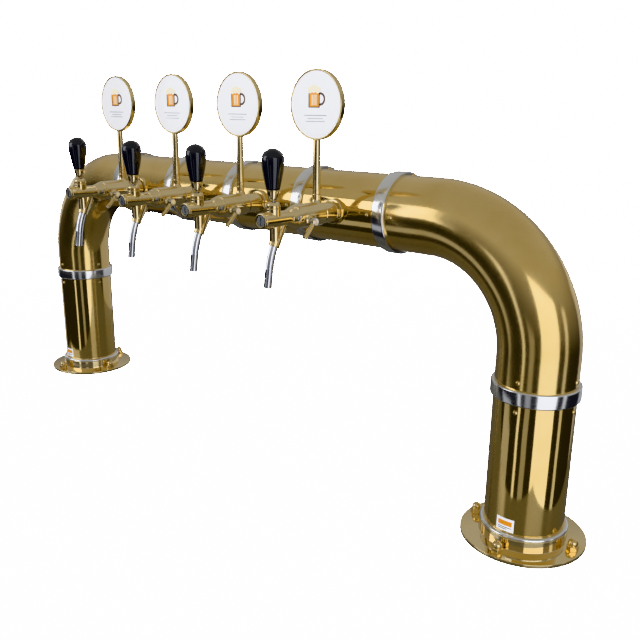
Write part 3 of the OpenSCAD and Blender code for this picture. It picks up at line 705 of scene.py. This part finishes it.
def round_bar(name, radius, low, high, at, facing=UP, steps=64):
    """A plain closed bar between two heights."""
    return turn(name, [(0, low), (radius, low), (radius, high), (0, high)], at, facing, steps)


neck = [(barrel_r + (housing_r - barrel_r) * (1 + math.cos(math.pi * k / 12)) / 2,
         housing_front + (neck_front - housing_front) * k / 12) for k in range(13)]
trunk_outline = (
    [(0, body_back), (10.9 * MM, body_back), (10.9 * MM, housing_back), (12.5 * MM, housing_back),
     (housing_r, housing_back + 2 * MM)] + neck
    + [(barrel_r, barrel_front - 0.8 * MM), (barrel_r - 0.8 * MM, barrel_front), (0, barrel_front)])
casting = turn("casting", trunk_outline, tap_place(), FORWARD)
badge_cone = [(0, 0), (9.2 * MM, 0), (9.2 * MM, 8 * MM), (5.6 * MM, 18.5 * MM), (5.6 * MM, badge_seat),
              (0, badge_seat)]
web = block("web", (6 * MM, 18 * MM, 20 * MM), tap_place(socket_at - 8.5 * MM, -17 * MM),
            (-socket_lean * 1.35, 0, 0))
lumps = [
    casting, web,
    round_bar("gland_boss", 9.1 * MM, 0, pivot_up - 1.5 * MM, tap_place(pivot)),
    turn("badge_boss", badge_cone, tap_place(badge_at)),
    round_bar("spindle_boss", 7 * MM, 0, 16 * MM, tap_place(spindle_at, spindle_up), ALONG),
    round_bar("spindle_collar", 5.7 * MM, 0, 17.5 * MM, tap_place(spindle_at, spindle_up), ALONG),
    round_bar("plug_boss", 3.4 * MM, 0, 15 * MM, tap_place(plug_at), ALONG),
    round_bar("drop", 7.3 * MM, -27 * MM, -7 * MM, tap_place(pivot - 2.5 * MM)),
    round_bar("socket", socket_r, 0, 30 * MM, tap_place(socket_at, socket_up), (-socket_lean, 0, 0))]
casting = joined("casting", lumps)
modify(casting, "REMESH", mode="VOXEL", voxel_size=0.45 * MM)
modify(casting, "SMOOTH", factor=0.5, iterations=6)

cone_back = housing_back + 10 * MM
chamber = [(0, body_back - MM), (chamber_r, body_back - MM), (chamber_r, cone_back - 4 * MM),
           (6.52 * MM, cone_back + 37 * MM), (7.8 * MM, cone_back + 37 * MM),
           (7.8 * MM, pivot - 24 * MM), (spool_bore_r, pivot - 24 * MM),
           (spool_bore_r, barrel_front + MM), (0, barrel_front + MM)]
gland_bore = [(0, 0), (6.7 * MM, 0), (6.7 * MM, pivot_up - 4 * MM), (7.4 * MM, pivot_up - 4 * MM),
              (7.4 * MM, pivot_up + MM), (0, pivot_up + MM)]
spout_r = 5.7 * MM
socket_bore = [(0, -MM), (spout_r, -MM), (spout_r, 14 * MM), (4.9 * MM, 14 * MM), (4.9 * MM, 22 * MM),
               (0, 22 * MM)]
cut(casting, turn("chamber", chamber, tap_place(), FORWARD, 64))
cut(casting, turn("gland_bore", gland_bore, tap_place(pivot), steps=64))
cut(casting, turn("socket_bore", socket_bore, tap_place(socket_at, socket_up), (-socket_lean, 0, 0), 64))
cut(casting, round_bar("spindle_bore", 4.55 * MM, 4 * MM, 19 * MM,
                       tap_place(spindle_at, spindle_up), ALONG))
cut(casting, round_bar("port", 3.2 * MM, -18 * MM, 0, tap_place(pivot - 8.5 * MM)))
for_each_tap(casting, "casting", cast_brass, "polished_brass", "tap_body_{}", sharp=40)

# ---- Front caps ------------------------------------------------------------
# The end of the barrel: a brass rim, and in it a grey steel plug with a slot
# that closes the bore of the spool.
cap_h = -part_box("front_caps")[0].y - tube_r - barrel_front
cap_r = barrel_r - 0.3 * MM
disc_r = cap_r - 2.4 * MM
turned_steel = metal("turned_steel", (0.52, 0.54, 0.52), (0.40, 0.41, 0.40), 0.24, 0.12,
                     0.0001, 4e-6)
rim_outline = (
    [(disc_r, 0), (cap_r, 0)] + arc(cap_r - 0.9 * MM, cap_h - 0.9 * MM, 0.9 * MM, 0, 90, 5)
    + [(disc_r + 0.5 * MM, cap_h), (disc_r, cap_h - 0.5 * MM), (disc_r, 0)])
cap_rim = turn("cap_rim", rim_outline, tap_place(barrel_front), FORWARD)
for_each_tap(cap_rim, "cap_rim", cast_brass, "polished_brass", "front_caps")
disc_outline = [(0, -3 * MM), (spool_bore_r, -3 * MM), (spool_bore_r, 0.2 * MM),
                (disc_r - 0.05 * MM, 0.2 * MM), (disc_r - 0.05 * MM, cap_h - 1.1 * MM),
                (disc_r - 0.5 * MM, cap_h - 0.8 * MM), (0, cap_h - 0.8 * MM)]
disc = turn("cap_disc", disc_outline, tap_place(barrel_front), FORWARD)
cut(disc, block("cap_slot", (1.2 * MM, 2.6 * MM, 10 * MM), tap_place(barrel_front + cap_h - 1.3 * MM)))
for_each_tap(disc, "cap_disc", turned_steel, "stainless_steel", "front_caps")

# ---- Gland nuts ------------------------------------------------------------
# The domed nut over the ball of the handle, with a groove where it meets the
# casting and a mouth wide enough for the stem to lean.
gland_r = 9.3 * MM
crown = 6 * MM
seat_r = 5.8 * MM
gland_outline = (
    [(7.7 * MM, -1.5 * MM), (gland_r - 0.5 * MM, -1.5 * MM), (gland_r, -1.0 * MM), (gland_r, 0.6 * MM),
     (gland_r - 0.6 * MM, 1.1 * MM), (gland_r - 0.6 * MM, 1.7 * MM), (gland_r - 0.12 * MM, 2.1 * MM)]
    + arc(0, 0, gland_r, 14, 38, 6)
    + [(6.9 * MM, crown), (6.0 * MM, crown), (4.76 * MM, 3.33 * MM)]
    + arc(0, 0, seat_r, 34, 16, 4) + [(7.7 * MM, 1.5 * MM), (7.7 * MM, -1.5 * MM)])
gland = turn("gland", gland_outline, tap_place(pivot, pivot_up))
for_each_tap(gland, "gland", cast_brass, "polished_brass", "gland_nuts")

# ---- Side plugs ------------------------------------------------------------
# A small domed steel screw closes the cross drilling in the side of the neck.
plug_r = 3 * MM
plug_rise = 2.2 * MM
plug_ball = dome_ball(plug_r, plug_rise)
plug_foot = math.degrees(math.asin((plug_ball - plug_rise) / plug_ball))
plug_outline = ([(0, -5 * MM), (2 * MM, -5 * MM), (2 * MM, 0), (plug_r, 0)]
                + arc(0, plug_rise - plug_ball, plug_ball, plug_foot, 90, 8)[:-1] + [(0, plug_rise)])
plug = turn("plug", plug_outline, tap_place(plug_at, 0, 15 * MM), ALONG, 48)
cut(plug, block("plug_slot", (1.6 * MM, 8 * MM, 0.7 * MM), tap_place(plug_at, 0, 17.4 * MM),
                (0.6, 0, 0)))
for_each_tap(plug, "plug", turned_steel, "stainless_steel", "side_plugs")

# ---- Spouts ----------------------------------------------------------------
# Bright stainless tube, bent once towards the glass and drawn down a little
# at the tip. It is pressed into its socket.
spout_bend = 110 * MM
spout_fit = 14 * MM
tip_lean = math.radians(8)
tip_l = 22 * MM
draw_down = 0.974
step_l = 0.6 * MM
spout_steel = metal("spout_steel", (0.80, 0.81, 0.82), (0.70, 0.70, 0.71), 0.11, 0.07, 0.0002, 3e-6,
                    (1, 1, 0.06))
socket_y, socket_z = tap_place(socket_at, socket_up)[1:]
lean_y, lean_z = math.sin(socket_lean), math.cos(socket_lean)
spout = start_ring("spout", (0, socket_y + spout_fit * lean_y, socket_z + spout_fit * lean_z),
                   (-socket_lean, 0, 0), spout_r, 64)
draw_out(0, -spout_fit * lean_y, -spout_fit * lean_z)
bpy.ops.mesh.spin(steps=16, angle=-(socket_lean - tip_lean), axis=(1, 0, 0),
                  center=(0, socket_y + spout_bend * lean_z, socket_z - spout_bend * lean_y))
tip_y, tip_z = math.sin(tip_lean), math.cos(tip_lean)
draw_out(0, -step_l * tip_y, -step_l * tip_z)
bpy.ops.transform.resize(value=(draw_down, draw_down, draw_down))
draw_out(0, -(tip_l - step_l) * tip_y, -(tip_l - step_l) * tip_z)
give_wall(spout, 0.8 * MM)
for_each_tap(spout, "spout", spout_steel, "stainless_spout", "spouts")

# ---- Badge rods ------------------------------------------------------------
# A brass rod carries the badge. It screws into the casting, where a fine
# groove marks its collar.
rod_r = 5.2 * MM
rod_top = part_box("badge_rods")[1].z - beam_z
rod_outline = [
    (0, 16.5 * MM), (3 * MM, 16.5 * MM), (3 * MM, badge_seat), (rod_r - 0.5 * MM, badge_seat),
    (rod_r, badge_seat + 0.5 * MM), (rod_r, badge_seat + 5 * MM),
    (rod_r - 0.35 * MM, badge_seat + 5.3 * MM), (rod_r, badge_seat + 5.6 * MM),
    (rod_r, rod_top), (0, rod_top)]
rod = turn("rod", rod_outline, tap_place(badge_at), steps=64)
for_each_tap(rod, "rod", polished_brass, "polished_brass", "badge_rods")

# ---- Badge frames ----------------------------------------------------------
# A shallow round brass dish with a rolled rim, standing on its rod.
frame_low, frame_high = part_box("badge_frames")
badge_r = (frame_high.z - frame_low.z) / 2
badge_up = (frame_high.z + frame_low.z) / 2 - beam_z
badge_t = frame_high.y - frame_low.y
rim = 2.6 * MM
plate_top = -badge_t / 2 + 2 * MM
frame_outline = (
    [(0, -badge_t / 2)] + arc(badge_r - 2 * MM, -badge_t / 2 + 2 * MM, 2 * MM, -90, 0)
    + arc(badge_r - 1.3 * MM, badge_t / 2 - 1.3 * MM, 1.3 * MM, 0, 180, 12)
    + [(badge_r - rim, plate_top), (0, plate_top)])
badge_frame = turn("badge_frame", frame_outline, tap_place(badge_at, badge_up), FORWARD, 128)
for_each_tap(badge_frame, "badge_frame", polished_brass, "polished_brass", "badge_frames")

# ---- Badge faces -----------------------------------------------------------
# A slightly domed white disc in each frame. It is printed with a plain
# emblem: a mug of beer over thin grey rules.
face_r = badge_r - rim
face_top = badge_t / 2 - 0.8 * MM
face_edge = face_top - 0.5 * MM
print_t = 0.06 * MM
layer_step = 0.05 * MM
white_enamel = Finish("white_enamel", base_color=(0.90, 0.90, 0.91, 1), roughness=0.22, coat_weight=0.5,
                      coat_roughness=0.05)
print_amber = Finish("print_amber", base_color=(0.80, 0.33, 0.03, 1), roughness=0.3)
print_brown = Finish("print_brown", base_color=(0.10, 0.045, 0.02, 1), roughness=0.3)
print_grey = Finish("print_grey", base_color=(0.42, 0.43, 0.46, 1), roughness=0.3)
print_foam = Finish("print_foam", base_color=(0.90, 0.84, 0.66, 1), roughness=0.3)
face_outline = [(0, plate_top), (face_r, plate_top), (face_r, face_edge),
                (face_r * 0.9, face_edge + 0.18 * MM), (face_r * 0.6, face_top - 0.14 * MM),
                (face_r * 0.3, face_top - 0.03 * MM), (0, face_top)]
face = turn("face", face_outline, tap_place(badge_at, badge_up), FORWARD, 128)
for_each_tap(face, "face", white_enamel.material, "white_enamel", "badge_faces")


def print_at(x, up, layer):
    """A place on the face; each layer of print lies a little over the one before."""
    return tap_place(badge_at + face_top + print_t / 2 + layer * layer_step, badge_up + up, x)


def printed_block(name, x, up, width, height, layer=0):
    """A flat printed rectangle on the badge."""
    return block(name, (width, print_t, height), print_at(x, up, layer))


def printed_ring(name, x, up, outer, inner, layer=0):
    """A flat printed ring or disc on the badge."""
    depth = print_t / 2
    outline = [(inner, -depth), (outer, -depth), (outer, depth), (inner, depth)]
    if inner:
        outline.append(outline[0])
    return turn(name, outline, print_at(x, up, layer), FORWARD, 48)


mug_up = 7 * MM
emblem = (
    ("mug", print_brown, [printed_block("a", -2 * MM, mug_up, 19 * MM, 21 * MM, 0),
                          printed_ring("b", 8.5 * MM, mug_up, 8 * MM, 5.4 * MM, 0)]),
    ("beer", print_amber, [printed_block("a", -2 * MM, mug_up - 0.8 * MM, 15.6 * MM, 17 * MM, 1)]),
    ("glints", print_foam, [printed_block("a", -5.2 * MM, mug_up - 1.2 * MM, 1.6 * MM, 13 * MM, 2),
                            printed_block("b", -2 * MM, mug_up - 1.2 * MM, 1.6 * MM, 13 * MM, 2),
                            printed_block("c", 1.2 * MM, mug_up - 1.2 * MM, 1.6 * MM, 13 * MM, 2)]),
    ("foam", print_foam, [printed_ring("a", -8.6 * MM, mug_up + 11 * MM, 4.2 * MM, 0, 3),
                          printed_ring("b", -2.4 * MM, mug_up + 12.4 * MM, 5.2 * MM, 0, 5),
                          printed_ring("c", 4.2 * MM, mug_up + 11 * MM, 4.4 * MM, 0, 4)]),
    ("rules", print_grey, [printed_block("a", 0, -13 * MM, 38 * MM, 1.2 * MM),
                           printed_block("b", 0, -17 * MM, 26 * MM, 1.0 * MM),
                           printed_block("c", 0, -20.5 * MM, 32 * MM, 1.0 * MM)]))
for mark, finish, shapes in emblem:
    for_each_tap(joined(mark, shapes), mark, finish.material, "white_enamel", "badge_faces")

# ---- Ferrules --------------------------------------------------------------
# A brass cone between the gland nut and the knob, dished below so that it
# clears the nut when the handle leans, with a bead under the knob.
ferrule_low, ferrule_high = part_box("ferrule_1")
ferrule_foot = ferrule_low.z - beam_z - pivot_up
ferrule_top = ferrule_high.z - beam_z - pivot_up
ferrule_r = (ferrule_high.x - ferrule_low.x) / 2
stem_r = 2.5 * MM
dish_r = 9.6 * MM
dish_start = math.degrees(math.acos(stem_r / dish_r))
dish_end = math.degrees(math.acos(5.2 * MM / dish_r))
ferrule_outline = (
    [(stem_r, ferrule_top)] + arc(0, 0, dish_r, dish_start, dish_end, 5)
    + [(5.9 * MM, ferrule_foot + 1 * MM), (ferrule_r - 0.45 * MM, ferrule_top - 2.6 * MM),
       (ferrule_r - 0.45 * MM, ferrule_top - 2.1 * MM), (ferrule_r, ferrule_top - 1.6 * MM),
       (ferrule_r, ferrule_top - 0.4 * MM), (ferrule_r - 0.4 * MM, ferrule_top), (stem_r, ferrule_top)])
ferrule = turn("ferrule_cone", ferrule_outline, tap_place(pivot, pivot_up))
for_each_tap(ferrule, "ferrule_cone", cast_brass, "polished_brass", "ferrule_{}", "handle_{}")

# ---- Knobs -----------------------------------------------------------------
# Glossy black phenolic, moulded in one piece and screwed on the handle's stem.
knob_low, knob_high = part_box("knob_1")
knob_h = knob_high.z - knob_low.z
knob_r = (knob_high.x - knob_low.x) / 2
knob_foot_r = 8.8 * MM
shoulder = knob_h - knob_r * 0.93
phenolic = Finish("black_phenolic", roughness=0.16, coat_weight=1.0, coat_roughness=0.04)
phenolic.set("Base Color", phenolic.blend(phenolic.cloud(40, 3), (0.006, 0.006, 0.008),
                                          (0.014, 0.014, 0.017)))
phenolic.set("Normal", phenolic.relief(phenolic.cloud(120, 1), 0.00006))
taper = [(knob_foot_r + (knob_r - knob_foot_r) * math.sin(math.pi / 2 * (k / 16) ** 1.15),
          shoulder * k / 16) for k in range(1, 17)]
crown_points = [(knob_r * math.cos(math.radians(a)),
                 shoulder + (knob_h - shoulder) * math.sin(math.radians(a)))
                for a in range(6, 90, 6)]
knob_outline = ([(0, 0), (knob_foot_r - 0.6 * MM, 0), (knob_foot_r, 0.6 * MM)] + taper + crown_points
                + [(0, knob_h)])
knob = turn("handle_knob", knob_outline, tap_place(pivot, pivot_up + ferrule_top))
for_each_tap(knob, "handle_knob", phenolic.material, "black_phenolic", "knob_{}", "handle_{}", 45)

# ---- Flow levers -----------------------------------------------------------
# A brass finger on the side of the housing sets the flow. It is pressed on
# the hub of a steel spindle, which turns a crank inside and ends in a slot.
bright_steel = metal("bright_steel", (0.78, 0.78, 0.78), (0.64, 0.64, 0.63), 0.12, 0.10,
                     0.0001, 3e-6)
spindle_end = 17.5 * MM
lever_r = 3.5 * MM
lever_x = spindle_end + 0.3 * MM + lever_r + 0.6 * MM
lever_l = 26 * MM
hub_r = 5.1 * MM
hub_at = tap_place(spindle_at, spindle_up)
hub_outline = [
    (0, 9 * MM), (4.5 * MM, 9 * MM), (4.5 * MM, spindle_end + 0.1 * MM),
    (3.5 * MM, spindle_end + 0.1 * MM), (3.5 * MM, lever_x - lever_r),
    (hub_r - 0.5 * MM, lever_x - lever_r), (hub_r, lever_x - lever_r + 0.5 * MM),
    (hub_r, lever_x + lever_r - 0.8 * MM), (hub_r - 0.8 * MM, lever_x + lever_r),
    (0, lever_x + lever_r)]
hub = turn("hub", hub_outline, hub_at, ALONG, 64)
arm_outline = [(0, 0), (lever_r - 0.6 * MM, 0), (lever_r, lever_l)] + arc(
    lever_r - 0.9 * MM, lever_l + 0.1 * MM, 0.9 * MM, 0, 90, 5) + [(0, lever_l + 1 * MM)]
arm = turn("arm", arm_outline, (lever_x, hub_at[1], hub_at[2]), (math.radians(135), 0, 0), 64)
cut(arm, round_bar("hub_seat", hub_r - 0.1 * MM, 10 * MM, 30 * MM, hub_at, ALONG))
cut(hub, round_bar("crank_pin", 1.2 * MM, 4.7 * MM, 9.5 * MM,
                   (0, hub_at[1], hub_at[2] + 3 * MM), ALONG, 32), "UNION")
cut(hub, block("hub_slot", (1.6 * MM, 0.9 * MM, 7 * MM), (lever_x + lever_r, hub_at[1], hub_at[2]),
               (0.5, 0, 0)))
for_each_tap(arm, "flow_arm", cast_brass, "polished_brass", "flow_lever_{}", "flow_lever_{}")
for_each_tap(hub, "flow_hub", bright_steel, "stainless_steel", "flow_lever_{}", "flow_lever_{}")

# ---- Hidden pieces ---------------------------------------------------------
# Sleeves, shanks, nuts, seals, beer lines, cooling pipe and the moving parts
# inside the taps keep their machined shapes, each with a finish of its own.
line_plastic = Finish("line_plastic", base_color=(0.80, 0.78, 0.70, 1), transmission_weight=0.15)
line_plastic.set("Roughness", line_plastic.cloud(60, 2) * 0.2 + 0.3)
seal_rubber = Finish("seal_rubber", specular_ior_level=0.3)
seal_rubber.set("Base Color", seal_rubber.blend(seal_rubber.cloud(300), (0.015, 0.015, 0.016),
                                                (0.04, 0.04, 0.04)))
seal_rubber.set("Roughness", seal_rubber.cloud(200) * 0.2 + 0.6)
white_acetal = Finish("white_acetal", base_color=(0.85, 0.85, 0.82, 1))
white_acetal.set("Roughness", white_acetal.cloud(150) * 0.15 + 0.35)
copper = metal("copper", (0.86, 0.47, 0.33), (0.60, 0.30, 0.19), 0.16, 0.15, 0.0002, 3e-6)
hidden = (
    (turned_steel, ("joint_sleeves", "tap_shanks")),
    (turned_steel, tuple(f"{part}_{i}" for part in ("lever", "spool") for i in TAPS)),
    (fastener_brass, ("shank_nuts", "line_fittings")),
    (seal_rubber.material, ("tap_seals",)),
    (line_plastic.material, ("beer_lines",)),
    (copper, ("cooling_pipe",)),
    (white_acetal.material, tuple(f"flow_cone_{i}" for i in TAPS)))
for material, nodes in hidden:
    for node in nodes:
        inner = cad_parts[node]
        inner.data.materials.clear()
        inner.data.materials.append(material)
